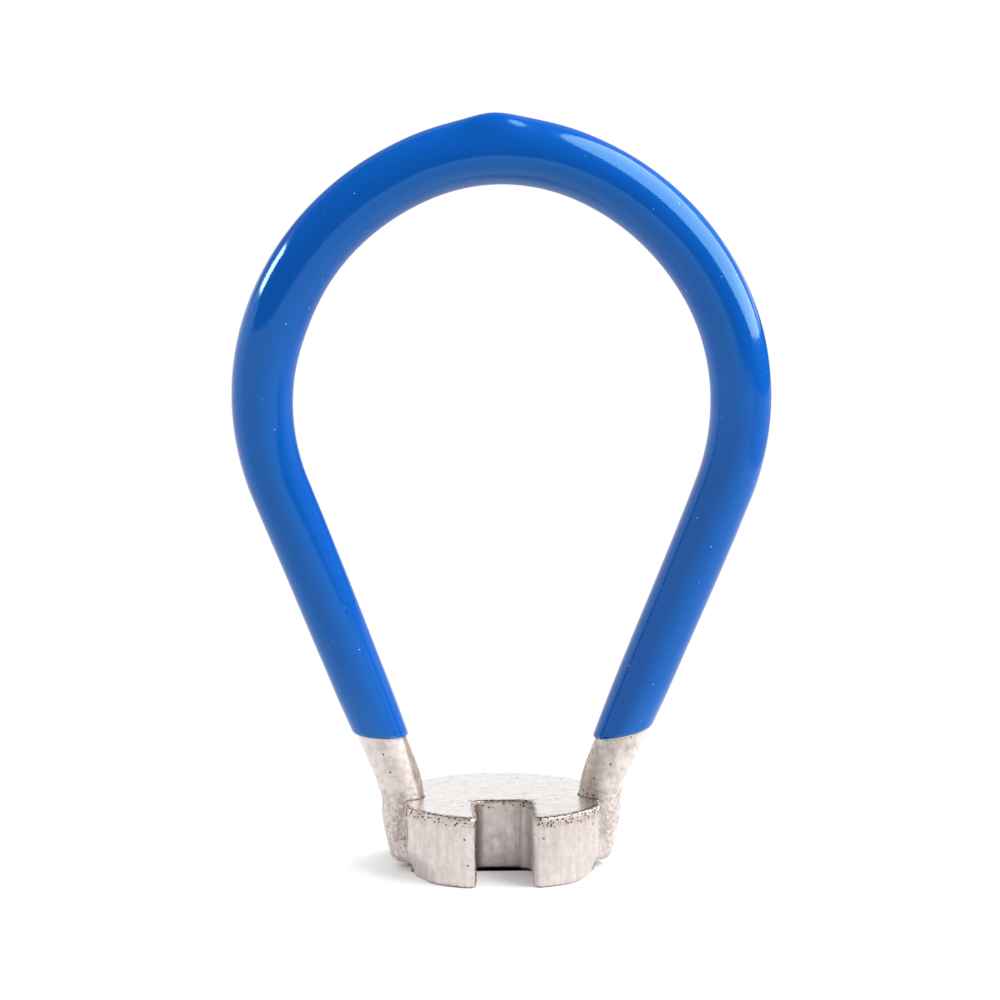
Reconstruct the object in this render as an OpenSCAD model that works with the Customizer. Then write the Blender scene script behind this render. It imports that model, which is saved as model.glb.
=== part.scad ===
// Loop-handled spoke wrench: a slotted steel jaw, a bent steel rod brazed to it and a dipped vinyl coat.
// The jaw stands on Z = 0 with its slot open to -Y, and the loop lies in the XZ plane above it.

/* [Jaw] */
// Height of the jaw along the spoke
jaw_h = 5; // [4:0.1:7]
// Radius of the jaw's round body
jaw_r = 7.7; // [7:0.1:9]
// Width across the jaw's two side flats
jaw_w = 13.7; // [12:0.1:14]
// Bevel around the jaw's top and bottom rims
jaw_bevel = 0.2; // [0.1:0.05:0.5]
// Depth that the rod is let into each side flat
seat_depth = 1.35; // [0.7:0.05:1.5]

/* [Slot] */
// Width of the slot across the nipple's flats
slot_w = 4.05; // [3.3:0.05:5]
// Depth of the slot from the jaw's round front
slot_l = 6.1; // [5.5:0.1:8]
// Radius in the slot's two back corners
slot_corner_r = 0.9; // [0.2:0.05:1]
// Rounding of the slot's two mouth corners
mouth_r = 0.5; // [0.2:0.05:0.9]

/* [Rod] */
// Diameter of the bent rod
rod_d = 3.1; // [2.6:0.05:3.4]
// Radius of the domed tip of each rod end
tip_r = 0.95; // [0.9:0.05:1.25]
// Height of the rod tips above the jaw's underside
tip_lift = 0.25; // [0.05:0.01:0.4]
// Length of the taper from the full rod to its tip
taper_l = 2.4; // [1.5:0.05:3]
// Depth below the jaw's top face at which the rod starts to lean out
neck_sink = 0.6; // [0.2:0.1:0.8]
// Bend radius of the neck, to the rod's centreline
neck_r = 7; // [6:0.1:9]

/* [Loop] */
// Lean of each leg away from the vertical, in degrees
leg_lean = 22; // [18:0.5:26]
// Radius of the lower sides of the ring, to the rod's centreline
side_r = 16.9; // [15:0.1:19]
// Radius of the ring's shoulders, to the rod's centreline
shoulder_r = 18.5; // [16:0.1:21]
// Radius of the ring's crown, to the rod's centreline
crown_r = 14.7; // [12:0.1:18]
// Sweep of the crown on each side of the top, in degrees
crown_sweep = 22.5; // [15:0.5:28]
// Sweep of each shoulder, in degrees
shoulder_sweep = 39.5; // [30:0.5:46]

/* [Vinyl coat] */
// Height of the dip line above the jaw's underside
dip_z = 9.5; // [8:0.1:14]
// Slope of the dip line up to the outer side, in degrees
dip_slope = 5; // [0:1:12]
// Coat thickness at the dip line
coat_low = 0.26; // [0.15:0.01:0.5]
// Coat thickness at the crown, where the dip drains to
coat_high = 0.7; // [0.4:0.02:1]
// Height of the dried drip on the crown
drip_h = 0.35; // [0.1:0.05:0.8]
// Half length of the drip along the crown
drip_l = 3.6; // [2:0.1:5]
// Length of the rounded lip at the coat's two ends
lip_l = 0.3; // [0.1:0.05:0.6]

/* [Braze] */
// Hollow radius of the bead between rod and flat
bead_r = 1.8; // [1.2:0.1:2]
// Height of the bead's lower end above the jaw's underside
bead_lift = 0.3; // [0.1:0.05:0.8]
// Drop of the bead's upper end below the jaw's top face
bead_drop = 0.15; // [0.05:0.05:0.6]

/* [Hidden] */
$fn = 72;

// Clearances that the braze and the coat fill
braze_gap = 0.05;
coat_gap = 0.03;
// Overrun of every cut past the face that it opens
over = 1;

steel = [0.82, 0.79, 0.78];
filler = [0.74, 0.71, 0.69];
vinyl = [0.05, 0.3, 0.72];

// Rod centreline: seat, neck, straight leg, then three arcs up to the crown
rod_r = rod_d / 2;
seat_x = jaw_w / 2 + rod_r - seat_depth;
tip_z = tip_lift + tip_r;
taper_z = tip_z + taper_l;
neck_z = jaw_h - neck_sink;
leg_x0 = seat_x + neck_r * (1 - cos(leg_lean));
leg_z0 = neck_z + neck_r * sin(leg_lean);

// Heading of the centreline, turned down from the crown's level tangent
crown_turn = crown_sweep;
shoulder_turn = crown_turn + shoulder_sweep;
side_turn = 90 + leg_lean;
shoulder_x = crown_r * sin(crown_turn);
side_x = shoulder_x + shoulder_r * (sin(shoulder_turn) - sin(crown_turn));
leg_x1 = side_x + side_r * (sin(side_turn) - sin(shoulder_turn));
leg_l = (leg_x1 - leg_x0) / sin(leg_lean);
leg_z1 = leg_z0 + leg_l * cos(leg_lean);
side_z = leg_z1 + side_r * (cos(shoulder_turn) - cos(side_turn));
shoulder_z = side_z + shoulder_r * (cos(crown_turn) - cos(shoulder_turn));
crown_z = shoulder_z + crown_r * (1 - cos(crown_turn));

// Rings around the centreline: their sides, and the steps along each stretch
ring_sides = 20;
crown_steps = 8;
bend_steps = 9;
neck_steps = 4;
dome_steps = 5;
bead_steps = 8;
leg_steps = 8;
lip_steps = 3;
// Last ring of the domed tip, in degrees past the tip's widest
dome_end = 80;

// Coat: its thickness rises as a power of the height, and its rings turn level near the dip line
coat_rise_share = 0.75;
level_l = 2 * rod_d;
coat_end = (leg_z1 - dip_z) / cos(leg_lean);
bore_r = (rod_r + coat_gap) / cos(180 / ring_sides);

// Stations of an arc: x, z and heading; a negative radius bends the other way
function arc_stations(x, z, radius, from, to, steps) = [
    for (i = [0 : steps - 1])
        let (turn = from + (to - from) * i / steps)
        [x + radius * (sin(turn) - sin(from)), z - radius * (cos(from) - cos(turn)), turn]
];

// A station at a distance down the right leg
function leg_station(along) = [leg_x1 - along * sin(leg_lean), leg_z1 - along * cos(leg_lean), side_turn];

ring_stations = concat(
    arc_stations(0, crown_z, crown_r, 0, crown_turn, crown_steps),
    arc_stations(shoulder_x, shoulder_z, shoulder_r, crown_turn, shoulder_turn, bend_steps),
    arc_stations(side_x, side_z, side_r, shoulder_turn, side_turn, bend_steps),
    [leg_station(0)]
);

// One ring of points around a station; side mirrors it, skew slants it and swell thickens its outside
function ring(station, side, r, skew = 0, swell = 0) =
    let (x = station[0], z = station[1], turn = station[2])
    [for (j = [0 : ring_sides - 1])
        let (a = 360 * j / ring_sides)
        let (out = (r + swell * pow(max(0, cos(a)), 2)) * cos(a))
        let (deep = (r + swell * pow(max(0, cos(a)), 2)) * sin(a))
        [side * (x + out * (sin(turn) + skew * cos(turn))), deep, z + out * (cos(turn) - skew * sin(turn))]];

// Faces between rings in a row; closed joins the last ring to the first, and open ends get caps
function tube_faces(count, closed) = [
    for (i = [0 : closed ? count - 1 : count - 2], j = [0 : ring_sides - 1])
        let (a = i * ring_sides, b = ((i + 1) % count) * ring_sides, k = (j + 1) % ring_sides)
        each [[a + j, b + j, b + k], [a + j, b + k, a + k]]
];

module tube(rows, closed = false) {
    count = len(rows);
    caps = closed ? [] : [
        [for (j = [0 : ring_sides - 1]) j],
        [for (j = [ring_sides - 1 : -1 : 0]) (count - 1) * ring_sides + j]
    ];
    polyhedron(points = [for (row = rows) each row], faces = concat(tube_faces(count, closed), caps));
}

// Rod stations carry the radius as a fourth value
rod_stations = concat(
    [for (s = ring_stations) [s[0], s[1], s[2], rod_r]],
    [for (s = arc_stations(leg_x0, leg_z0, -neck_r, side_turn, 90, neck_steps)) [s[0], s[1], s[2], rod_r]],
    [[seat_x, neck_z, 90, rod_r], [seat_x, taper_z, 90, rod_r]],
    [for (i = [0 : dome_steps])
        let (dip = dome_end * i / dome_steps)
        [seat_x, tip_z - tip_r * sin(dip), 90, tip_r * cos(dip)]]
);

module loop_rod() {
    last = len(rod_stations) - 1;
    color(steel) tube(concat(
        [for (i = [last : -1 : 1]) ring(rod_stations[i], -1, rod_stations[i][3])],
        [for (i = [0 : last]) ring(rod_stations[i], 1, rod_stations[i][3])]
    ));
}

// Coat stations carry the share of the wall that the rounded lip leaves
coat_stations = concat(
    [for (s = ring_stations) [s[0], s[1], s[2], 1]],
    [for (i = [1 : leg_steps]) concat(leg_station((coat_end - lip_l) * i / leg_steps), 1)],
    [for (i = [1 : lip_steps])
        let (bow = 90 * i / lip_steps)
        concat(leg_station(coat_end - lip_l * (1 - sin(bow))), cos(bow))]
);

function coat_wall(z) =
    let (rise = max(0, (z - dip_z) / (crown_z - dip_z)))
    coat_low + (coat_high - coat_low) * pow(rise, coat_rise_share);

// Height of the drip at a turn away from the crown
function drip(turn) =
    let (away = crown_r * turn * PI / 180)
    away < drip_l ? drip_h * (1 + cos(180 * away / drip_l)) / 2 : 0;

// Slant that lays a ring along the dip line near the coat's end
function level_skew(s) =
    let (near = max(0, 1 - (s[1] - dip_z) / cos(leg_lean) / level_l))
    s[2] < side_turn ? 0 : near * near * (3 - 2 * near) / tan(side_turn + dip_slope);

function skin_ring(s, side) =
    ring(s, side, rod_r + coat_gap + coat_wall(s[1]) * s[3], level_skew(s), drip(s[2]));
function bore_ring(s, side) = ring(s, side, bore_r, level_skew(s));

// Closed skin over a loop of rings: along the coat's outside and back along its bore
module vinyl_sleeve() {
    last = len(coat_stations) - 1;
    color(vinyl) tube(concat(
        [for (i = [last : -1 : 1]) skin_ring(coat_stations[i], -1)],
        [for (i = [0 : last]) skin_ring(coat_stations[i], 1)],
        [for (i = [last : -1 : 1]) bore_ring(coat_stations[i], 1)],
        [for (i = [0 : last]) bore_ring(coat_stations[i], -1)]
    ), closed = true);
}

// Round body of the jaw with bevelled rims
module jaw_body() {
    rotate_extrude() polygon([
        [0, 0], [jaw_r - jaw_bevel, 0], [jaw_r, jaw_bevel],
        [jaw_r, jaw_h - jaw_bevel], [jaw_r - jaw_bevel, jaw_h], [0, jaw_h]
    ]);
}

// Plan of the slot: square sides, rounded back corners and a mouth that runs out of the front
module slot_plan() {
    back = slot_l - jaw_r;
    translate([-slot_w / 2, -jaw_r - over])
        square([slot_w, slot_l + over - slot_corner_r]);
    translate([-slot_w / 2 + slot_corner_r, -jaw_r])
        square([slot_w - 2 * slot_corner_r, slot_l]);
    for (side = [-1, 1])
        translate([side * (slot_w / 2 - slot_corner_r), back - slot_corner_r]) circle(slot_corner_r);
}

// Plan of what rounds one mouth corner: a wedge from the arc's centre, less the arc
module mouth_plan() {
    x = slot_w / 2 + mouth_r;
    y = -sqrt(pow(jaw_r - mouth_r, 2) - x * x);
    reach = (jaw_r + over) / (jaw_r - mouth_r);
    difference() {
        polygon([[0, y], [x, y], [x * reach, y * reach], [0, y * reach]]);
        translate([x, y]) circle(mouth_r);
    }
}

module jaw() {
    color(steel) difference() {
        intersection() {
            jaw_body();
            translate([-jaw_w / 2, -jaw_r, 0]) cube([jaw_w, 2 * jaw_r, jaw_h]);
        }
        translate([0, 0, -over]) linear_extrude(jaw_h + 2 * over) {
            slot_plan();
            mouth_plan();
            mirror([1, 0]) mouth_plan();
        }
        for (side = [-1, 1])
            translate([side * seat_x, 0, -over]) cylinder(h = jaw_h + 2 * over, r = rod_r + braze_gap);
    }
}

// Arc of points about a centre
function arc(centre, r, from, to, steps) =
    [for (i = [0 : steps]) let (a = from + (to - from) * i / steps) centre + r * [cos(a), sin(a)]];

// Plan of the filler: a hollow bead in front of the rod and one behind, joined through the seat
module bead_plan() {
    x = jaw_w / 2 + bead_r;
    y = sqrt(pow(rod_r + bead_r, 2) - pow(x - seat_x, 2));
    // Where the bead leaves the flat, and where it meets the rod
    flat_turn = 180 + acos(1 - braze_gap / bead_r);
    rod_turn = 180 + atan2(y, x - seat_x);
    // Half opening of the seat in the flat
    seat_turn = acos((jaw_w / 2 + braze_gap - seat_x) / rod_r);
    polygon(concat(
        arc([x, y], bead_r, flat_turn, rod_turn, bead_steps),
        [[seat_x, 0]],
        arc([x, -y], bead_r, 360 - rod_turn, 360 - flat_turn, bead_steps),
        arc([seat_x, 0], rod_r, 360 - seat_turn, seat_turn, 2 * bead_steps)
    ));
}

// Room for the rod's end, turned about the seat's axis
module rod_end_room() {
    dome = arc([0, tip_z], tip_r + braze_gap, -90, 0, dome_steps);
    translate([seat_x, 0, 0]) rotate_extrude() polygon(concat(dome, [
        [rod_r + braze_gap, taper_z], [rod_r + braze_gap, jaw_h + over], [0, jaw_h + over]
    ]));
}

// Filler on the right flank
module braze() {
    color(filler) difference() {
        translate([0, 0, bead_lift]) linear_extrude(jaw_h - bead_lift - bead_drop) bead_plan();
        rod_end_room();
    }
}

module braze_right() { braze(); }
module braze_left() { mirror([1, 0, 0]) braze(); }

jaw();
loop_rod();
braze_left();
braze_right();
vinyl_sleeve();
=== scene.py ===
# Spoke wrench with a dipped vinyl loop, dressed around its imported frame.
# Lengths in the dictionaries are millimetres and angles are degrees; Blender itself gets metres.
import math

import bpy
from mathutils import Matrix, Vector, noise


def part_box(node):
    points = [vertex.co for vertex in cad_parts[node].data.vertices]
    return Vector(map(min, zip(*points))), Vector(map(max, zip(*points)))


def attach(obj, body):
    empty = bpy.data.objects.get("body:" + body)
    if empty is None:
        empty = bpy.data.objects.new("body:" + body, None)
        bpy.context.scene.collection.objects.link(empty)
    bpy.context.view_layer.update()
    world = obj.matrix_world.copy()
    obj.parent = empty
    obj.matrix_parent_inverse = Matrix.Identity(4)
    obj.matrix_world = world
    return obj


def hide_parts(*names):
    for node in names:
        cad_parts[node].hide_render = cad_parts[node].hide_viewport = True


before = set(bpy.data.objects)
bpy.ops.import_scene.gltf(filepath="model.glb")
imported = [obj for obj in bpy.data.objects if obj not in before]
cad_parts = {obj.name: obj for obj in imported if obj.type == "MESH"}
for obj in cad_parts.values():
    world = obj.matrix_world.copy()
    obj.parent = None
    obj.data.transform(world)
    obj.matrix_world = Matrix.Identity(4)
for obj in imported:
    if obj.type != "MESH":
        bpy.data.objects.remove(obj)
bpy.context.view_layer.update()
mm = 0.001
print("frame loaded:", ", ".join(sorted(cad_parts)))


# Small tools
def linear(hexColour):
    shares = [int(hexColour[i:i + 2], 16) / 255 for i in (1, 3, 5)]
    return [s / 12.92 if s <= 0.04045 else ((s + 0.055) / 1.055) ** 2.4 for s in shares] + [1]


def addNode(tree, kind, settings=None, inputs=None):  # a node or a socket is linked, a value is set
    node = tree.nodes.new(kind)
    for name, value in (settings or {}).items():
        setattr(node, name, value)
    for name, value in (inputs or {}).items():
        if isinstance(value, bpy.types.Node):
            value = value.outputs[0]
        if isinstance(value, bpy.types.NodeSocket):
            tree.links.new(value, node.inputs[name])
        else:
            node.inputs[name].default_value = value
    return node


multiply, multiplyAdd = {"operation": "MULTIPLY"}, {"operation": "MULTIPLY_ADD"}  # settings of a maths node


def grain(x, y, z, sizeMm, seed):  # smooth noise from -1 to 1 whose lumps are about that size
    return noise.noise(Vector((x / sizeMm + 17.3 * seed, y / sizeMm - 5.1 * seed, z / sizeMm + 9.7 * seed)))


def ease(value, low, high):  # 0 below low, 1 above high, smooth between
    share = min(1, max(0, (value - low) / (high - low)))
    return share * share * (3 - 2 * share)


def buildMesh(name, points, faces, material):  # points in millimetres
    mesh = bpy.data.meshes.new(name)
    mesh.from_pydata([[c * mm for c in p] for p in points], [], faces)
    mesh.validate()
    mesh.materials.append(material)
    mesh.polygons.foreach_set("use_smooth", [True] * len(mesh.polygons))
    piece = bpy.data.objects.new(name, mesh)
    bpy.context.scene.collection.objects.link(piece)
    return piece


def skinFaces(rows, around, closed=False):  # quads between rows of points, each row a ring, and end caps
    faces = []
    for i in range(rows if closed else rows - 1):
        a, b = i * around, (i + 1) % rows * around
        faces += [[a + j, a + (j + 1) % around, b + (j + 1) % around, b + j] for j in range(around)]
    if not closed:
        faces.append(list(reversed(range(around))))
        faces.append(list(range((rows - 1) * around, rows * around)))
    return faces


def newMaterial(name):  # with an empty node tree
    material = bpy.data.materials.new(name)
    material.use_nodes = True
    material.node_tree.nodes.clear()
    return material, material.node_tree


def dress(piece, nodeName):  # the piece stands for that node of the frame, which it hides, and is attached to the root body
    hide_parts(nodeName)
    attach(piece, "root")
    print("built", piece.name, "with", len(piece.data.vertices), "points")


# Camera: the photograph's viewing angle, aimed at the middle of the object
view = {
    "azimuth": -2.5, "elevation": 8.8, "distance": 300, "frameWidth": 70.4, "sensor": 36,
    "aimX": -0.09, "aimZ": 26.26, "clipFrom": 10, "clipTo": 20000,
}


def makeCamera():
    turn, rise = math.radians(view["azimuth"]), math.radians(view["elevation"])
    back = Vector((math.sin(turn) * math.cos(rise), -math.cos(turn) * math.cos(rise), math.sin(rise)))
    data = bpy.data.cameras.new("camera")
    data.sensor_width = view["sensor"]
    data.lens = view["sensor"] * view["distance"] / view["frameWidth"]
    data.clip_start, data.clip_end = view["clipFrom"] * mm, view["clipTo"] * mm
    camera = bpy.data.objects.new("camera", data)
    camera.location = Vector((view["aimX"], 0, view["aimZ"])) * mm + back * view["distance"] * mm
    camera.rotation_mode = "QUATERNION"
    camera.rotation_quaternion = (-back).to_track_quat("-Z", "Y")
    bpy.context.scene.collection.objects.link(camera)
    bpy.context.scene.camera = camera


makeCamera()
print("camera placed")

# The rod's centreline: its right half as stretches down from the crown, each with its length and curvature
loop = {
    "rodD": 3.1, "jawW": 13.7, "seatDepth": 1.35, "neckZ": 4.4, "neckR": 7, "legLean": 22,
    "sideR": 16.9, "shoulderR": 18.5, "crownR": 14.7, "crownSweep": 22.5, "shoulderSweep": 39.5,
    "tipR": 0.95, "tipLift": 0.25, "taperL": 2.4,
    "driftLeft": (0.18, 24, 13), "driftRight": (0.11, 23, 6),
}
rodR = loop["rodD"] / 2
seatX = loop["jawW"] / 2 + rodR - loop["seatDepth"]
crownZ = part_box("loop_rod")[1].z / mm - rodR
tipZ = loop["tipLift"] + loop["tipR"]
taperZ = tipZ + loop["taperL"]


def stretches():  # crown, shoulder, side, leg, neck and the upright in its seat
    lean = math.radians(loop["legLean"])
    crownTurn = math.radians(loop["crownSweep"])
    shoulderTurn = crownTurn + math.radians(loop["shoulderSweep"])
    sideTurn = math.pi / 2 + lean
    bends = [(loop["crownR"], 0, crownTurn), (loop["shoulderR"], crownTurn, shoulderTurn),
             (loop["sideR"], shoulderTurn, sideTurn)]
    legTopX = sum(r * (math.sin(b) - math.sin(a)) for r, a, b in bends)
    legFootX = seatX + loop["neckR"] * (1 - math.cos(lean))
    rows = [(r * (b - a), 1 / r) for r, a, b in bends]
    rows.append(((legTopX - legFootX) / math.sin(lean), 0))
    rows.append((loop["neckR"] * lean, -1 / loop["neckR"]))
    rows.append((loop["neckZ"], 0))
    return rows


def station(distance):  # x, z and heading at a distance down the right half; heading 0 is level at the crown
    x, z, turn = 0, crownZ, 0
    for length, bend in stretchRows:
        run = min(distance, length)
        after = turn + run * bend
        if bend:
            x += (math.sin(after) - math.sin(turn)) / bend
            z -= (math.cos(turn) - math.cos(after)) / bend
        else:
            x, z = x + run * math.cos(turn), z - run * math.sin(turn)
        turn, distance = after, distance - run
        if distance <= 0:
            break
    return x, z, turn


def drift(side, z):  # hand bent wire: a leg strays sideways by that much around that height
    most, middle, spread = loop["driftRight"] if side > 0 else loop["driftLeft"]
    return most * math.exp(-((z - middle) / spread) ** 2)


stretchRows = stretches()
ringLength = sum(row[0] for row in stretchRows[:3])
legEnd = ringLength + stretchRows[3][0]
seatStart = legEnd + stretchRows[4][0]


# Dipped vinyl coat: glossy plastisol, thin at the dip line and thick at the crown, with a dried drip
coat = {
    "low": 0.27, "high": 0.71, "riseShare": 0.75, "gap": 0.03, "thin": 0.05, "thinRun": 3.4,
    "dipZ": 9.5, "lip": 0.34, "lipSteps": 8,
    "slopeLeft": 2, "slopeRight": 10.5, "levelRun": 6.2,
    "dripH": 0.2, "dripL": 1.6, "dripFootH": 0.13, "dripFootL": 4.6, "dripAt": -0.3,
    "dabH": 0.38, "dabL": 1.8, "dabAt": -0.5, "dabTurn": 28, "dabW": 22,
    "runH": 0.15, "runAt": -20.8, "runL": 4,
    "step": 0.32, "sides": 72,
    "sag": 0.014, "sagSize": 5, "ripple": 0.004, "rippleSize": 1.4,
}


def coatRows(side):  # side is -1 at the left; each row has a ring of the skin and one of the bore
    slope = math.radians(coat["slopeLeft"] if side < 0 else coat["slopeRight"])
    sideTurn = math.pi / 2 + math.radians(loop["legLean"])
    end = ringLength + (station(ringLength)[1] - coat["dipZ"]) / math.cos(math.radians(loop["legLean"]))
    lipStart = end - coat["lip"]
    distances = [coat["step"] * i for i in range(int(lipStart / coat["step"]))]
    distances += [lipStart + coat["lip"] * math.sin(math.radians(90 * i / coat["lipSteps"]))
                  for i in range(coat["lipSteps"] + 1)]
    rows = []
    for distance in distances:
        x, z, turn = station(distance)
        rise = max(0, (z - coat["dipZ"]) / (crownZ - coat["dipZ"])) ** coat["riseShare"]
        wall = coat["low"] + (coat["high"] - coat["low"]) * rise
        wall -= coat["thin"] * (1 - ease(z, coat["dipZ"], coat["dipZ"] + coat["thinRun"]))
        wall *= math.sqrt(max(0, 1 - (max(0, distance - lipStart) / coat["lip"]) ** 2))
        near = ease(distance, end - coat["levelRun"], end)
        skew = near / math.tan(sideTurn + slope) if near else 0
        run = coat["runH"] * math.exp(-((side * distance - coat["runAt"]) / coat["runL"]) ** 2)
        away = side * distance - coat["dripAt"]
        drip = coat["dripH"] * math.exp(-(away / coat["dripL"]) ** 2)
        drip += coat["dripFootH"] * math.exp(-(away / coat["dripFootL"]) ** 2)
        dab = coat["dabH"] * math.exp(-((away - coat["dabAt"]) / coat["dabL"]) ** 2)
        outer, inner = [], []
        for j in range(coat["sides"]):
            turnAbout = 2 * math.pi * j / coat["sides"]
            outward, deep = math.cos(turnAbout), math.sin(turnAbout)
            r = rodR + coat["gap"] + wall + drip * max(0, outward) ** 2 + run * max(0, -outward) ** 2
            aside = (math.degrees(turnAbout) + coat["dabTurn"] + 180) % 360 - 180
            r += dab * math.exp(-(aside / coat["dabW"]) ** 2)
            for radius, ring in ((r, outer), (rodR + coat["gap"] / 2, inner)):
                out = radius * outward
                px = side * (x + out * (math.sin(turn) + skew * math.cos(turn))) + drift(side, z)
                pz = z + out * (math.cos(turn) - skew * math.sin(turn))
                py = radius * deep
                if ring is outer:
                    wave = coat["sag"] * grain(px, py, pz, coat["sagSize"], 1)
                    wave += coat["ripple"] * grain(px, py, pz, coat["rippleSize"], 2)
                    wave *= min(1, wall / coat["low"])
                    px += side * wave * outward * math.sin(turn)
                    pz += wave * outward * math.cos(turn)
                    py += wave * deep
                ring.append((px, py, pz))
        rows.append((outer, inner))
    return rows


def makeCoat(material):
    left, right = coatRows(-1), coatRows(1)
    rows = [row[0] for row in reversed(left[1:])] + [row[0] for row in right]
    rows += [row[1] for row in reversed(right)] + [row[1] for row in left[1:]]
    points = [p for row in rows for p in row]
    piece = buildMesh("dippedCoat", points, skinFaces(len(rows), coat["sides"], closed=True), material)
    dress(piece, "vinyl_sleeve")


# Bent rod: nickel plated steel wire, its bare ends rough and a little lumpy
rod = {
    "sides": 110, "hiddenStep": 1.2, "bareStep": 0.08, "bareZ": 10.1, "ledgeZ": 5.85, "ledge": 0.07,
    "skin": 0.014, "skinSize": 0.4, "lump": 0.02, "lumpSize": 1.5, "rough": 0.035, "roughSize": 0.3,
    "bareFade": 1, "ledgeFade": 0.12, "calm": 0.3, "calmFrom": 0.2, "calmTo": 0.9, "liftMost": 0.02,
    "thinnest": 0.01, "endGap": 0.02,
}


def rodRadius(z, distance):  # tapered and domed at the tip in its seat
    if distance < seatStart or z > taperZ:
        return rodR
    if z > tipZ:
        return loop["tipR"] + (rodR - loop["tipR"]) * (z - tipZ) / (taperZ - tipZ)
    return math.sqrt(max(0, loop["tipR"] ** 2 - (tipZ - z) ** 2))


def rodRows(side):  # close rows and lumps on the bare end, calmer where it meets the jaw's top
    total = seatStart + loop["neckZ"] - loop["tipLift"] - rod["endGap"]
    distances, distance = [], 0
    while distance < total:
        distances.append(distance)
        hidden = station(distance)[1] > rod["bareZ"] + rod["hiddenStep"]
        distance += rod["hiddenStep"] if hidden else rod["bareStep"]
    distances.append(total)
    rows = []
    for distance in distances:
        x, z, turn = station(distance)
        bare = 1 - ease(z, rod["bareZ"] - rod["bareFade"], rod["bareZ"])
        below = 1 - ease(z, rod["ledgeZ"] - rod["ledgeFade"], rod["ledgeZ"] + rod["ledgeFade"])
        lively = rod["calm"] + (1 - rod["calm"]) * ease(abs(z - jaw["h"]), rod["calmFrom"], rod["calmTo"])
        ring = []
        for j in range(rod["sides"]):
            turnAbout = 2 * math.pi * j / rod["sides"]
            outward, deep = math.cos(turnAbout), math.sin(turnAbout)
            r = rodRadius(z, distance)
            px, py, pz = side * (x + r * outward * math.sin(turn)), r * deep, z + r * outward * math.cos(turn)
            lift = rod["skin"] * grain(px, py, pz, rod["skinSize"], 3)
            lift += rod["lump"] * grain(px, py, pz, rod["lumpSize"], 4)
            lift += below * rod["rough"] * grain(px, py, pz, rod["roughSize"], 5)
            lift *= bare * lively
            lift -= below * rod["ledge"] * max(0, outward) * ease(z, tipZ, taperZ)
            r = max(rod["thinnest"], r + min(lift, rod["liftMost"]) * min(1, r / loop["tipR"]))
            px = side * (x + r * outward * math.sin(turn)) + drift(side, z)
            ring.append((px, r * deep, z + r * outward * math.cos(turn)))
        rows.append(ring)
    return rows


def makeRod(material):
    left, right = rodRows(-1), rodRows(1)
    rows = list(reversed(left[1:])) + right
    points = [p for row in rows for p in row]
    piece = buildMesh("loopRod", points, skinFaces(len(rows), rod["sides"]), material)
    dress(piece, "loop_rod")


# Jaw: pressed and sintered steel, nickel plated, with a burr on its wings' upper rims
jaw = {
    "h": 5, "r": 7.7, "slotW": 4.05, "slotL": 6.1, "cornerR": 0.9, "mouthR": 0.5, "seatGap": 0.05,
    "rimR": 0.2, "rimSteps": 5, "spacing": 0.1, "rows": 44, "softPasses": 2,
    "wave": 0.02, "waveSize": 2.2, "groove": 0.012, "grooveMm": 0.35, "grooveL": 12, "liftMost": 0.02,
    "burr": 0.08, "burrSize": 0.28, "burrFrom": 2.6, "burrTo": 3.6, "burrLow": 0.45, "burrHigh": 0.08,
    "burrSink": 0.5, "tuck": 0.62, "tuckRise": 2.2, "tuckFrom": 4.7, "seatRim": 0.2, "seatReach": 0.2,
}


def arcPoints(x, y, r, start, stop):  # about x, y
    count = max(2, int(abs(stop - start) * r / jaw["spacing"]))
    turns = [start + (stop - start) * i / count for i in range(count + 1)]
    return [(x + r * math.cos(turn), y + r * math.sin(turn)) for turn in turns]


def linePoints(start, stop):
    count = max(1, int(math.dist(start, stop) / jaw["spacing"]))
    return [(start[0] + (stop[0] - start[0]) * i / count, start[1] + (stop[1] - start[1]) * i / count)
            for i in range(count + 1)]


def jawOutline():  # anticlockwise seen from above, from the middle of the slot's back wall
    half, back, r = jaw["slotW"] / 2, jaw["slotL"] - jaw["r"], jaw["cornerR"]
    flat, groove = loop["jawW"] / 2, rodR + jaw["seatGap"]
    mouthX = half + jaw["mouthR"]
    mouthY = -math.sqrt((jaw["r"] - jaw["mouthR"]) ** 2 - mouthX ** 2)
    lipTurn = math.atan2(mouthY, mouthX)
    flatTurn = math.acos(flat / jaw["r"])
    grooveTurn = math.acos((flat - seatX) / groove)
    grooveY = groove * math.sin(grooveTurn)
    flatY = jaw["r"] * math.sin(flatTurn)
    right = linePoints((0, back), (half - r, back))
    right += arcPoints(half - r, back - r, r, math.pi / 2, 0)
    right += linePoints((half, back - r), (half, mouthY))
    right += arcPoints(mouthX, mouthY, jaw["mouthR"], math.pi, 2 * math.pi + lipTurn)
    right += arcPoints(0, 0, jaw["r"], lipTurn, -flatTurn)
    right += linePoints((flat, -flatY), (flat, -grooveY))
    right += arcPoints(seatX, 0, groove, 2 * math.pi - grooveTurn, grooveTurn)
    right += linePoints((flat, grooveY), (flat, flatY))
    right += arcPoints(0, 0, jaw["r"], flatTurn, math.pi / 2)
    outline = right + [(-x, y) for x, y in reversed(right)]
    kept = [p for i, p in enumerate(outline) if math.dist(p, outline[i - 1]) > jaw["spacing"] / 4]
    count = len(kept)
    for _ in range(jaw["softPasses"]):
        kept = [tuple((kept[i - 1][k] + 2 * kept[i][k] + kept[(i + 1) % count][k]) / 4 for k in (0, 1))
                for i in range(count)]
    return kept


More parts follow.
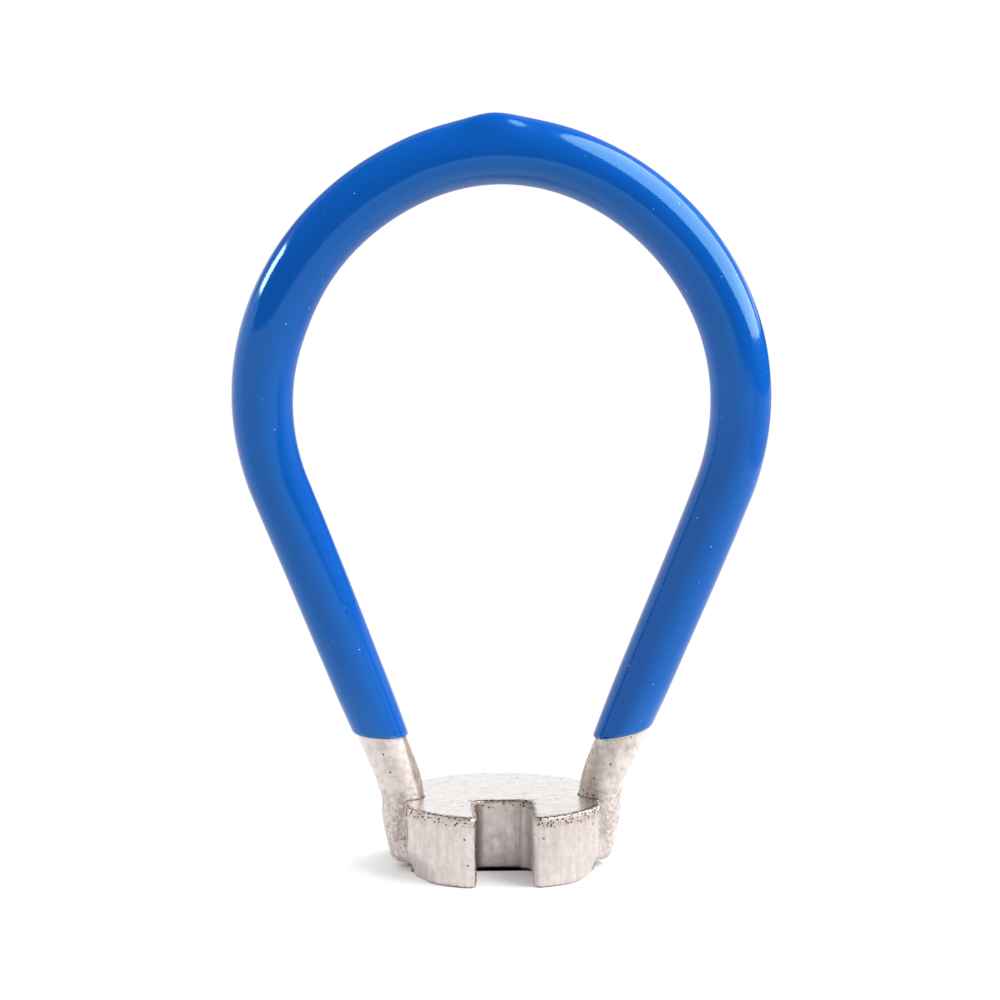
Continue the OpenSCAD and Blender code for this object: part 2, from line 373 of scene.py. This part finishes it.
def makeJaw(material):
    outline = jawOutline()
    count = len(outline)
    normals = []
    for i in range(count):
        dx = outline[(i + 1) % count][0] - outline[i - 1][0]
        dy = outline[(i + 1) % count][1] - outline[i - 1][1]
        size = math.hypot(dx, dy)
        normals.append((dy / size, -dx / size))
    rimTurns = [math.radians(90 * i / jaw["rimSteps"]) for i in range(jaw["rimSteps"] + 1)]
    rim = [(jaw["rimR"] + jaw["spacing"], 0)]  # inset and height, from the underside
    rim += [(jaw["rimR"] * (1 - math.sin(turn)), jaw["rimR"] * (1 - math.cos(turn))) for turn in rimTurns]
    straight = jaw["h"] - 2 * jaw["rimR"]
    levels = rim + [(0, jaw["rimR"] + straight * i / jaw["rows"]) for i in range(1, jaw["rows"])]
    levels += [(inset, jaw["h"] - z) for inset, z in reversed(rim)]
    nearSeat = rodR + jaw["seatReach"]
    points = []
    for level, z in levels:
        for (x, y), (nx, ny) in zip(outline, normals):
            inset = level * (jaw["seatRim"] if math.dist((abs(x), y), (seatX, 0)) < nearSeat else 1)
            px, py = x - inset * nx, y - inset * ny
            lift = jaw["wave"] * grain(px, py, z, jaw["waveSize"], 6)
            lift += jaw["groove"] * grain(px, py, z / jaw["grooveL"], jaw["grooveMm"], 10)
            tucked = ease(abs(x), jaw["tuckFrom"], loop["jawW"] / 2) * (1 - ease(z, 0, jaw["tuckRise"]))
            lift -= jaw["tuck"] * tucked
            front = ease(-y, jaw["burrFrom"], jaw["burrTo"])
            upper = ease(z, jaw["h"] - jaw["burrLow"], jaw["h"] - jaw["burrHigh"])
            upper *= 1 - ease(inset, jaw["rimR"], 1.5 * jaw["rimR"])
            burr = front * upper * jaw["burr"] * grain(px, py, z, jaw["burrSize"], 7)
            out = min(jaw["liftMost"], lift) + min(jaw["liftMost"], burr)
            points.append((px + out * nx, py + out * ny, z - jaw["burrSink"] * abs(burr)))
    piece = buildMesh("jawBody", points, skinFaces(len(levels), count), material)
    dress(piece, "jaw")


# Braze: filler drawn into the corner between rod and flat, hollow above and run out to the wing's corner
# below
braze = {
    "low": 0.3, "drop": 0.25, "beadR": 0.85, "topRun": 1.4, "beadSteps": 18, "rowStep": 0.09, "sink": 0.06,
    "rough": 0.06, "roughSize": 0.3, "wander": 0.15, "wanderSize": 1.1,
    "footLow": 0.7, "footHigh": 2.5, "footY": 3.15, "footOut": 0.06, "footReach": 0.75, "footDeep": 0.66,
    "round": 0.6, "slim": 0.45, "slimY": 1, "topShare": 0.3, "roughShare": 0.3, "deep": 0.3, "cornerIn": 0.2,
}


def beadRows(side, face):  # face is -1 for the bead in front of the rod and 1 behind it
    flat, top = loop["jawW"] / 2, jaw["h"] - braze["drop"]
    count = int((top - braze["low"]) / braze["rowStep"])
    rows = []
    for i in range(count + 1):
        z = braze["low"] + (top - braze["low"]) * i / count
        r = rodRadius(z, seatStart)
        wall = flat - jaw["tuck"] * (1 - ease(z, 0, jaw["tuckRise"])) - braze["sink"]
        foot = 1 - ease(z, braze["footLow"], braze["footHigh"])
        slim = braze["slim"] + (1 - braze["slim"]) * ease(z, braze["low"], braze["low"] + braze["round"])
        wander = grain(side * 3, face * 5, z, braze["wanderSize"], 8)  # each bead has its own
        bead = braze["beadR"] * (1 + braze["wander"] * wander)
        bead *= braze["topShare"] + (1 - braze["topShare"]) * ease(top - z, 0, braze["topRun"])
        cx = flat + bead
        cy = math.sqrt((r + bead) ** 2 - (cx - seatX) ** 2)
        stop = math.atan2(-cy, seatX - cx)
        hollow = []
        for k in range(braze["beadSteps"] + 1):
            share = k / braze["beadSteps"]
            turn = math.pi + (stop + math.pi) * share
            rough = braze["rough"] * (braze["roughShare"] + math.sin(math.pi * share))
            px, py = cx + bead * math.cos(turn), cy + bead * math.sin(turn)
            px += (wall + braze["footOut"] + (seatX + braze["footReach"] * r - wall) * share - px) * foot
            py += (braze["footY"] + (braze["footDeep"] * r - braze["footY"]) * share - py) * foot
            rough *= grain(side * px, face * py, z, braze["roughSize"], 9)
            px = wall + (px - rough * math.cos(turn) - wall) * slim
            py = braze["slimY"] + (py - rough * math.sin(turn) - braze["slimY"]) * slim
            hollow.append((px, py))
        corner = (wall, max(0, r * r - (flat - seatX) ** 2) ** 0.5 - braze["cornerIn"])
        lastX, lastY = hollow[-1]
        inward = 1 - braze["deep"] / math.hypot(lastX - seatX, lastY)
        deepRod = (seatX + (lastX - seatX) * inward, lastY * inward)
        rows.append([(side * x, face * y, z) for x, y in hollow + [deepRod, corner, (wall, hollow[0][1])]])
    return rows


def makeBraze(side, name, nodeName, material):
    points, faces = [], []
    for face in (-1, 1):
        rows = beadRows(side, face)
        around, start = len(rows[0]), len(points)
        made = skinFaces(len(rows), around)
        if side * face < 0:
            made = [list(reversed(f)) for f in made]
        points += [p for row in rows for p in row]
        faces += [[start + v for v in f] for f in made]
    piece = buildMesh(name, points, faces, material)
    dress(piece, nodeName)


# Plastisol vinyl, dip moulded: saturated blue with a wet gloss, specks of dust, short scuffs and a faintly
# uneven skin. The right leg's inner half, which faces away from the softbox, is painted darker as painted
# shade, and the ring's inner side is less glossy. Cells is the share of cells that hold a dot, and share is
# how much of its colour shows.
vinylLook = {
    "blue": "#0850a6", "deepBlue": "#074b9e", "cloudMm": 6, "cloudDetail": 3, "cloudShare": 1,
    "skinMm": 0.45, "skinDetail": 2, "skinBump": 0.12, "skinDeep": 0.03,
    "ior": 1.5, "specular": 0.6, "sheenBlue": "#b4ffff",
    "roughness": 0.1, "innerDull": 0.25, "innerR": (15.9, 15.1), "innerZ": (28, 33), "ringZ": 34,
    # painted shade: the right leg's inner half is drawn in a darker blue
    "paintedShadeBlue": "#08408f", "paintedShadeShare": 0.9, "legSlope": 0.416,
    "paintedShadeFrom": (-0.7, 0.7), "paintedShadeTo": (5.1, 3.7), "paintedShadeZ": (34, 28),
    "fleck": "#b4d2f4", "fleckMm": 0.8, "fleckR": 0.055, "fleckCells": 0.5, "fleckShare": 0.85,
    "fleckLift": 0.6,
    "scuffMm": 2.2, "scuffR": 0.07, "scuffL": 9, "scuffTurn": 11.459, "scuffCells": 0.3, "scuffShare": 0.35,
    "speck": "#4d4338", "speckMm": 2.6, "speckR": 0.11, "speckCells": 0.25, "speckShare": 0.6,
}


def inMillimetres(tree, tall=1, turn=0):  # the piece's coordinates; tall stretches a pattern upwards
    place = addNode(tree, "ShaderNodeTexCoord").outputs["Object"]
    return addNode(tree, "ShaderNodeMapping", None, {
        "Vector": place, "Rotation": (0, math.radians(turn), 0), "Scale": (1 / mm, 1 / mm, 1 / mm / tall)})


def mask(tree, ramps, share=1):  # a ramp is 0 at its first value and 1 at its second; all are multiplied
    for value, start, stop in ramps:
        ramp = addNode(tree, "ShaderNodeMapRange", None,
                       {"Value": value, "From Min": start, "From Max": stop})
        share = addNode(tree, "ShaderNodeMath", multiply, {0: share, 1: ramp})
    return share


def dots(tree, vector, spacingMm, radiusMm, some):  # scattered round specks, in that share of the cells
    cells = addNode(tree, "ShaderNodeTexVoronoi", {"feature": "F1"},
                    {"Vector": vector, "Scale": 1 / spacingMm, "Randomness": 1})
    pick = addNode(tree, "ShaderNodeSeparateColor", None, {"Color": cells.outputs["Color"]})
    chosen = addNode(tree, "ShaderNodeMath", {"operation": "LESS_THAN"}, {0: pick.outputs["Red"], 1: some})
    reach = radiusMm / spacingMm
    return mask(tree, [(cells.outputs["Distance"], reach, reach / 2)], chosen)


def paint(tree, colour, layers):  # each layer has a mask, its strength and its colour
    for where, strength, hexColour in layers:
        share = addNode(tree, "ShaderNodeMath", multiply, {0: where, 1: strength})
        colour = addNode(tree, "ShaderNodeMix", {"data_type": "RGBA"},
                         {0: share, 6: colour, 7: linear(hexColour)}).outputs[2]
    return colour


def vinylMaterial():
    look = vinylLook
    material, tree = newMaterial("dippedPlastisolVinyl")
    vector = inMillimetres(tree)
    slanted = inMillimetres(tree, look["scuffL"], look["scuffTurn"])
    cloud = addNode(tree, "ShaderNodeTexNoise", None,
                    {"Vector": vector, "Scale": 1 / look["cloudMm"], "Detail": look["cloudDetail"]})
    skin = addNode(tree, "ShaderNodeTexNoise", None,
                   {"Vector": vector, "Scale": 1 / look["skinMm"], "Detail": look["skinDetail"]})
    fleck = dots(tree, vector, look["fleckMm"], look["fleckR"], look["fleckCells"])
    scuff = dots(tree, slanted, look["scuffMm"], look["scuffR"], look["scuffCells"])
    speck = dots(tree, vector, look["speckMm"], look["speckR"], look["speckCells"])

    x, _, z = addNode(tree, "ShaderNodeSeparateXYZ", None, {"Vector": vector}).outputs
    fromLeg = addNode(tree, "ShaderNodeMath", multiplyAdd, {0: z, 1: -look["legSlope"], 2: x})
    # painted shade on the right leg's inner half, which faces away from the softbox
    paintedShade = mask(tree, [(fromLeg, *look["paintedShadeFrom"]), (fromLeg, *look["paintedShadeTo"]), (z, *look["paintedShadeZ"])])
    fromMiddle = addNode(tree, "ShaderNodeVectorMath", {"operation": "DISTANCE"},
                         {0: vector, 1: (0, 0, look["ringZ"])}).outputs["Value"]
    inner = mask(tree, [(fromMiddle, *look["innerR"]), (z, *look["innerZ"])])

    colour = paint(tree, linear(look["blue"]), [
        (cloud, look["cloudShare"], look["deepBlue"]), (paintedShade, look["paintedShadeShare"], look["paintedShadeBlue"]),
        (scuff, look["scuffShare"], look["fleck"]), (speck, look["speckShare"], look["speck"]),
        (fleck, look["fleckShare"], look["fleck"])])
    dull = addNode(tree, "ShaderNodeMath", multiplyAdd,
                   {0: inner, 1: look["innerDull"], 2: look["roughness"]})
    height = addNode(tree, "ShaderNodeMath", multiplyAdd, {0: fleck, 1: look["fleckLift"], 2: skin})
    bump = addNode(tree, "ShaderNodeBump", None,
                   {"Strength": look["skinBump"], "Distance": look["skinDeep"] * mm, "Height": height})
    shader = addNode(tree, "ShaderNodeBsdfPrincipled", None, {
        "Base Color": colour, "Roughness": dull, "IOR": look["ior"], "Specular IOR Level": look["specular"],
        "Specular Tint": linear(look["sheenBlue"]), "Normal": bump})
    addNode(tree, "ShaderNodeOutputMaterial", None, {"Surface": shader})
    return material


# Dull electroplated nickel: warm grey, soft reflections, a fine orange peel and brown pits where it is thin.
# The peel is drawn coarser than a real one, so that it shows. A cut has the noise levels at which a mask
# begins and is full.
nickelLook = {
    "pale": "#e1d8d4", "grey": "#bdb3af", "dark": "#968a86", "tan": "#b79f86", "mauve": "#8f8485",
    "brown": "#85756a", "olive": "#a89e8e", "pit": "#34281f", "edge": "#6a5343", "white": "#fdfaf8",
    "cloudMm": 0.6, "peelMm": 0.24, "tanMm": 0.7, "streakMm": 0.42, "streakL": 9, "fractal": 0.62,
    # shadeToRight is painted shade: the nickel greys a little towards the right, where the softbox lights it
    "cloudDetail": 7, "peelDetail": 5, "tanDetail": 5, "streakDetail": 5, "shadeToRight": 0.006, "legSlope": 0.28,
    "toneCut": (0.36, 0.74), "lumpCut": (0.42, 0.6), "shadeCut": (0.3, 0.55), "shadeVaries": 0.35,
    "tanCut": (0.45, 0.6), "tanShare": 0.6, "lineCut": (0.42, 0.54), "lineShare": 0.85,
    "pitMm": 0.24, "pitR": 0.085, "pitCut": (0.2, 0.12), "pitFray": 0.35, "pitShare": 0.85,
    "roughCut": (0.3, 0.7), "roughness": (0.29, 0.44), "peelDeep": 0.05,
}
# What sets each piece apart. A zone has ranges in millimetres of x, y, z, of the radius from the jaw's axis
# or of lean, which is measured across the leaning legs; soft is how far their ends fade.
wireLook = {
    "streak": 0, "relief": 0, "peel": 1, "grey": -0.06, "pits": 0.015, "gloss": [({"soft": 0}, 0.3)],
    "mottled": ({"z": (-1, 5.7), "soft": 0.3}, 0.5),
    "worn": [({"x": (-7.15, -6.35), "y": (-9, 0), "z": (1.6, 2.9), "soft": 0.2}, 0.6),
             ({"x": (4, 6.7), "y": (-9, 0), "z": (5.3, 9.4), "soft": 0.25}, 0.2)],
    "line": [{"z": (4.9, 5.07), "lean": (0, 5.45), "soft": 0.03}],
    "shades": [({"x": (4, 6.85), "z": (5, 11), "soft": 0.12}, 0.45, "olive"),
               ({"x": (-9, -3), "z": (5, 11), "lean": (3, 4.4), "soft": 0.1}, 0.8, "brown")],
}
jawLook = {
    "streak": 0.55, "relief": 1, "peel": 0.4, "grey": 0.1, "pits": 0.012,
    "gloss": [({"z": (4.97, 6), "soft": 0.02}, -0.16), ({"z": (4.76, 4.95), "soft": 0.03}, 0.28),
              ({"x": (1.25, 2.3), "z": (-1, 4.75), "soft": 0.12}, 0.35)],
    "mottled": ({"z": (-1, 4.9), "soft": 0.1}, 0.12),
    "worn": [({"y": (-9, -2.6), "z": (4.3, 4.95), "radius": (7.3, 9), "soft": 0.12}, 0.95),
             ({"x": (-2.6, 2.6), "y": (-9, -1.4), "z": (4.5, 4.95), "soft": 0.1}, 0.5)],
    "line": [{"y": (-9, -2.6), "z": (4.93, 5.2), "radius": (7.2, 9), "soft": 0.03},
             {"x": (-2.3, 2.3), "y": (-9, -1.35), "z": (4.86, 5.2), "soft": 0.04},
             # painted shade: a dark line along the bottom rim, where the jaw meets the floor
             {"z": (-1, 0.07), "radius": (7.3, 9), "soft": 0.05},
             # painted shade: dark lines down the wings' front corners, in the creases where the arms pass
             # behind
             {"x": (-7.2, -6.74), "y": (-3.95, -3.15), "z": (1.4, 4.9), "soft": 0.05},
             {"x": (6.77, 7.2), "y": (-3.95, -3.15), "z": (1, 4.9), "soft": 0.05},
             # painted shade on the rounding of the slot's left mouth corner
             {"x": (-2.15, -1.9), "y": (-7.6, -6.3), "z": (-1, 4.8), "soft": 0.03}],
    # painted shade: mauve and brown darken the inside of the slot
    "shades": [({"x": (-2.1, 1.3), "z": (-1, 4.75), "soft": 0.1}, 0.35, "mauve"),
               ({"x": (0.8, 1.4), "z": (-1, 4.75), "soft": 0.2}, 0.3, "brown"),
               # painted light: a whiter patch in the slot's right corner
               ({"x": (1.35, 2.2), "z": (-1, 4.75), "soft": 0.1}, 0.6, "white"),
               ({"z": (4.93, 6), "soft": 0.04}, 0.85, "white")],
}
brazeLook = {
    "streak": 0, "relief": 0, "peel": 1, "grey": 0.25, "pits": 0.03, "gloss": [({"soft": 0}, 0.25)],
    "mottled": ({"z": (-1, 6), "soft": 0.1}, 0.5),
    "worn": [({"x": (-7.15, -6.35), "y": (-9, 0), "z": (1.6, 2.9), "soft": 0.2}, 0.6)],
    "line": [], "shades": [],
}


def zoneRamps(axes, zone):  # a rising and a falling end for each of its ranges
    ramps, soft = [], zone["soft"]
    for name, value in axes.items():
        if name in zone:
            low, high = zone[name]
            ramps += [(value, low - soft, low + soft), (value, high + soft, high - soft)]
    return ramps


def nickelMaterial(name, look):
    plate = nickelLook
    material, tree = newMaterial(name)
    vector = inMillimetres(tree)
    upright = inMillimetres(tree, plate["streakL"])
    cloud, peel, stain, streak = (
        addNode(tree, "ShaderNodeTexNoise", None, {
            "Vector": source, "Scale": 1 / plate[pattern + "Mm"], "Detail": plate[pattern + "Detail"],
            "Roughness": plate["fractal"]})
        for pattern, source in (("cloud", vector), ("peel", vector), ("tan", vector), ("streak", upright)))
    x, y, z = addNode(tree, "ShaderNodeSeparateXYZ", None, {"Vector": vector}).outputs
    flatVector = addNode(tree, "ShaderNodeCombineXYZ", None, {"X": x, "Y": y})
    radius = addNode(tree, "ShaderNodeVectorMath", {"operation": "LENGTH"}, {0: flatVector}).outputs["Value"]
    apart = addNode(tree, "ShaderNodeMath", {"operation": "ABSOLUTE"}, {0: x})
    lean = addNode(tree, "ShaderNodeMath", multiplyAdd, {0: z, 1: -plate["legSlope"], 2: apart})
    axes = {"x": x, "y": y, "z": z, "radius": radius, "lean": lean}

    # Pale nickel with grey clouds or mill streaks, and painted shade that greys it a little towards the
    # right, where the softbox lights it
    tone = addNode(tree, "ShaderNodeMath", multiply, {0: cloud, 1: 1 - look["streak"]})
    for value, share in ((streak, look["streak"]), (x, plate["shadeToRight"])):
        tone = addNode(tree, "ShaderNodeMath", multiplyAdd, {0: value, 1: share, 2: tone})
    low, high = plate["toneCut"]
    layers = [(mask(tree, [(tone, low - look["grey"], high - look["grey"])]), 1, plate["grey"])]

    # Dark lumps, patches of other hues, tan stains and brown lines, each in its zones. Some of the patches
    # and lines are painted shade, and one patch is painted light
    zone, share = look["mottled"]
    lumps = mask(tree, zoneRamps(axes, zone) + [(peel, *plate["lumpCut"])])
    layers.append((lumps, share, plate["dark"]))
    patches = mask(tree, [(stain, *plate["shadeCut"])])
    for zone, share, hue in look["shades"]:
        uneven = addNode(tree, "ShaderNodeMath", multiplyAdd, {
            0: patches, 1: plate["shadeVaries"] * share, 2: (1 - plate["shadeVaries"]) * share})
        layers.append((mask(tree, zoneRamps(axes, zone)), uneven, plate[hue]))
    density = look["pits"]
    for zone, share in look["worn"]:
        here = mask(tree, zoneRamps(axes, zone))
        density = addNode(tree, "ShaderNodeMath", multiplyAdd, {0: here, 1: share, 2: density})
        layers.append((mask(tree, [(stain, *plate["tanCut"])], here), plate["tanShare"], plate["tan"]))
    for zone in look["line"]:
        ragged = mask(tree, zoneRamps(axes, zone) + [(peel, *plate["lineCut"])])
        layers.append((ragged, plate["lineShare"], plate["edge"]))

    # Brown pits: frayed dots, in more of the cells where the plating is worn
    cells = addNode(tree, "ShaderNodeTexVoronoi", {"feature": "F1"},
                    {"Vector": vector, "Scale": 1 / plate["pitMm"], "Randomness": 1})
    pick = addNode(tree, "ShaderNodeSeparateColor", None, {"Color": cells.outputs["Color"]})
    chosen = addNode(tree, "ShaderNodeMath", {"operation": "LESS_THAN"}, {0: pick.outputs["Red"], 1: density})
    frayed = addNode(tree, "ShaderNodeMath", multiplyAdd, {0: peel, 1: plate["pitFray"], 2: cells})
    reach = plate["pitR"] / plate["pitMm"]
    pit = mask(tree, [(frayed, *(reach + more for more in plate["pitCut"]))], chosen)
    layers.append((pit, plate["pitShare"], plate["pit"]))

    relief = addNode(tree, "ShaderNodeMath", multiplyAdd, {0: streak, 1: look["relief"], 2: peel})
    relief = addNode(tree, "ShaderNodeMath", {"operation": "SUBTRACT"}, {0: relief, 1: pit})
    bump = addNode(tree, "ShaderNodeBump", None,
                   {"Strength": look["peel"], "Distance": plate["peelDeep"] * mm, "Height": relief})
    (cloudLow, cloudHigh), (smooth, dull) = plate["roughCut"], plate["roughness"]
    rough = addNode(tree, "ShaderNodeMapRange", None, {
        "Value": cloud, "From Min": cloudLow, "From Max": cloudHigh, "To Min": smooth, "To Max": dull})
    for zone, change in look["gloss"]:
        here = mask(tree, zoneRamps(axes, zone))
        rough = addNode(tree, "ShaderNodeMath", multiplyAdd, {0: here, 1: change, 2: rough})
    shader = addNode(tree, "ShaderNodeBsdfPrincipled", None, {
        "Base Color": paint(tree, linear(plate["pale"]), layers), "Metallic": 1, "Roughness": rough,
        "Normal": bump})
    addNode(tree, "ShaderNodeOutputMaterial", None, {"Surface": shader})
    return material


makeCoat(vinylMaterial())
makeRod(nickelMaterial("dullNickelOnWire", wireLook))
makeJaw(nickelMaterial("dullNickelOnPressedSteel", jawLook))
brazeNickel = nickelMaterial("nickelOverBrazeFiller", brazeLook)
makeBraze(-1, "brazeLeft", "braze_left", brazeNickel)
makeBraze(1, "brazeRight", "braze_right", brazeNickel)

# Studio: pale floor that fades into a white surround, one large round softbox, a strip light, and dark and
# pale sheets around the tool that glow at their colour and show in its reflections only
studio = {
    "ambient": 0.87, "overhead": 0.3, "floorColour": "#e2e2e2", "floorR": 350, "fadeFrom": 6, "fadeTo": 42,
    "floorSides": 96, "sweepGrey": "#303030", "sweepR": 800, "sweepLeft": 2600, "sweepRight": 2000,
    "sweepEnd": 127, "sweepSteps": 29, "sweepZ": 1, "sweepFrom": 205, "sweepTo": 345, "sweepFadeZ": (2, 3),
}
# Colour and corners: two flags at the tool's right and one in its ring, a grey card high behind it and two
# pale cards low in front of it.
cards = {
    "darkFlag": ("#303030", [(60, -50, 29), (60, 150, 29), (60, 150, 42), (60, -50, 42)]),
    "innerFlag": ("#303030", [(8, -17, 28.5), (8, -17, 34.5), (8, 60, 34.5), (8, 60, 28.5)]),
    "greyFlag": ("#bcbcbc", [(60, -50, 12), (60, 150, 12), (60, 150, 29), (60, -50, 29)]),
    "greyCard": ("#8c8c8c", [(-200, 120, 72), (260, 120, 72), (260, 120, 200), (-200, 120, 200)]),
    "paleCardLeft": ("#ececec", [(-50, -5, 0), (0, -60, 0), (0, -60, 34), (-50, -5, 44)]),
    "paleCardRight": ("#ececec", [(0, -60, 0), (45, -35, 0), (45, -35, 26), (0, -60, 30)]),
}
softbox = {"radiance": 5, "width": 807, "height": 710, "distance": 520, "rise": 36.3, "swing": -1.4}
striplight = {"radiance": 20, "width": 310, "height": 195, "distance": 1000, "rise": 24, "swing": 167.4}


def lightPathMix(tree):  # 1 for camera, glossy and transmission rays, so that gloss shows the background too
    path = addNode(tree, "ShaderNodeLightPath")
    first = addNode(tree, "ShaderNodeMath", {"operation": "MAXIMUM"},
                    {0: path.outputs["Is Camera Ray"], 1: path.outputs["Is Glossy Ray"]})
    return addNode(tree, "ShaderNodeMath", {"operation": "MAXIMUM"},
                   {0: first, 1: path.outputs["Is Transmission Ray"]})


def makeWorld():
    world = bpy.data.worlds.new("whiteSurround")
    world.use_nodes = True
    tree = world.node_tree
    tree.nodes.clear()
    seen = addNode(tree, "ShaderNodeBackground", None, {"Color": (1, 1, 1, 1), "Strength": 1})
    direction = addNode(tree, "ShaderNodeTexCoord").outputs["Generated"]
    height = addNode(tree, "ShaderNodeSeparateXYZ", None, {"Vector": direction}).outputs["Z"]
    brighterAbove = addNode(tree, "ShaderNodeMath", multiplyAdd,
                            {0: height, 1: studio["overhead"], 2: studio["ambient"]})
    lighting = addNode(tree, "ShaderNodeBackground", None, {"Color": (1, 1, 1, 1), "Strength": brighterAbove})
    mix = addNode(tree, "ShaderNodeMixShader", None, {0: lightPathMix(tree), 1: lighting, 2: seen})
    addNode(tree, "ShaderNodeOutputWorld", None, {"Surface": mix})
    world.cycles.sampling_method = "NONE"
    bpy.context.scene.world = world


def floorMaterial():  # pale at the tool, clear further out
    material, tree = newMaterial("paleMattFloor")
    place = addNode(tree, "ShaderNodeTexCoord").outputs["Object"]
    reach = addNode(tree, "ShaderNodeVectorMath", {"operation": "LENGTH"}, {0: place}).outputs["Value"]
    fade = addNode(tree, "ShaderNodeMapRange", {"interpolation_type": "SMOOTHSTEP"},
                   {"Value": reach, "From Min": studio["fadeFrom"] * mm, "From Max": studio["fadeTo"] * mm})
    matt = addNode(tree, "ShaderNodeBsdfDiffuse", None, {"Color": linear(studio["floorColour"])})
    clear = addNode(tree, "ShaderNodeBsdfTransparent")
    mix = addNode(tree, "ShaderNodeMixShader", None, {0: fade, 1: matt, 2: clear})
    addNode(tree, "ShaderNodeOutputMaterial", None, {"Surface": mix})
    return material


def makeFloor():
    sides = studio["floorSides"]
    turns = [2 * math.pi * i / sides for i in range(sides)]
    points = [(studio["floorR"] * math.cos(t), studio["floorR"] * math.sin(t), 0) for t in turns]
    floor = buildMesh("floor", points, [list(range(sides))], floorMaterial())


def makeGlowingCloth(name, hexColour, points, faces, fadesIn=False, oneSided=False):  # glows at its colour and shows in reflections only
    material, tree = newMaterial(name)
    colour = linear(hexColour)
    if fadesIn:  # it starts white on the floor in front
        place = addNode(tree, "ShaderNodeTexCoord").outputs["Object"]
        _, y, z = addNode(tree, "ShaderNodeSeparateXYZ", None, {"Vector": place}).outputs
        away = mask(tree, [(y, -studio["sweepFrom"] * mm, -studio["sweepTo"] * mm)])
        above = mask(tree, [(z, *(height * mm for height in studio["sweepFadeZ"]))])
        either = addNode(tree, "ShaderNodeMath", {"operation": "MAXIMUM"}, {0: away, 1: above})
        colour = paint(tree, linear("#ffffff"), [(either, 1, hexColour)])
    surface = addNode(tree, "ShaderNodeEmission", None, {"Color": colour, "Strength": 1})
    if oneSided:
        side = addNode(tree, "ShaderNodeNewGeometry").outputs["Backfacing"]
        clear = addNode(tree, "ShaderNodeBsdfTransparent")
        surface = addNode(tree, "ShaderNodeMixShader", None, {0: side, 1: surface, 2: clear})
    addNode(tree, "ShaderNodeOutputMaterial", None, {"Surface": surface})
    glowingCloth = buildMesh(name, points, faces, material)
    glowingCloth.visible_camera = glowingCloth.visible_diffuse = glowingCloth.visible_shadow = False
    glowingCloth.visible_volume_scatter = False


def makeGlowingCloths():
    profile = [(-studio["sweepFrom"], studio["sweepZ"]), (-studio["sweepR"], studio["sweepZ"])]
    for i in range(1, studio["sweepSteps"] + 1):
        turn = math.radians(studio["sweepEnd"] * i / studio["sweepSteps"])
        profile.append((-studio["sweepR"] * math.cos(turn), studio["sweepR"] * math.sin(turn)))
    points = [(x, y, z) for y, z in profile for x in (-studio["sweepLeft"], studio["sweepRight"])]
    strips = [[2 * i, 2 * i + 1, 2 * i + 3, 2 * i + 2] for i in range(len(profile) - 1)]
    makeGlowingCloth("darkSweep", studio["sweepGrey"], points, strips, fadesIn=True)
    for name, (hexColour, corners) in cards.items():
        makeGlowingCloth(name, hexColour, corners, [[0, 1, 2, 3]], oneSided=name == "innerFlag")


def makeSoftbox(name, box, shape, fill):  # fill is the share of its rectangle that glows
    lamp = bpy.data.lights.new(name, "AREA")
    lamp.shape = shape
    lamp.size, lamp.size_y = box["width"] * mm, box["height"] * mm
    lamp.energy = box["radiance"] * math.pi * fill * lamp.size * lamp.size_y
    rise, swing = math.radians(box["rise"]), math.radians(box["swing"])
    away = Vector((math.cos(rise) * math.cos(swing), math.cos(rise) * math.sin(swing), math.sin(rise)))
    holder = bpy.data.objects.new(name, lamp)
    holder.location = Vector((0, 0, view["aimZ"] * mm)) + away * box["distance"] * mm
    holder.rotation_mode = "QUATERNION"
    holder.rotation_quaternion = (-away).to_track_quat("-Z", "Y")
    bpy.context.scene.collection.objects.link(holder)


makeWorld()
makeFloor()
makeGlowingCloths()
makeSoftbox("softboxRight", softbox, "ELLIPSE", math.pi / 4)
makeSoftbox("striplightLeft", striplight, "RECTANGLE", 1)
bpy.context.scene.view_settings.view_transform = "Standard"
print("studio lit")
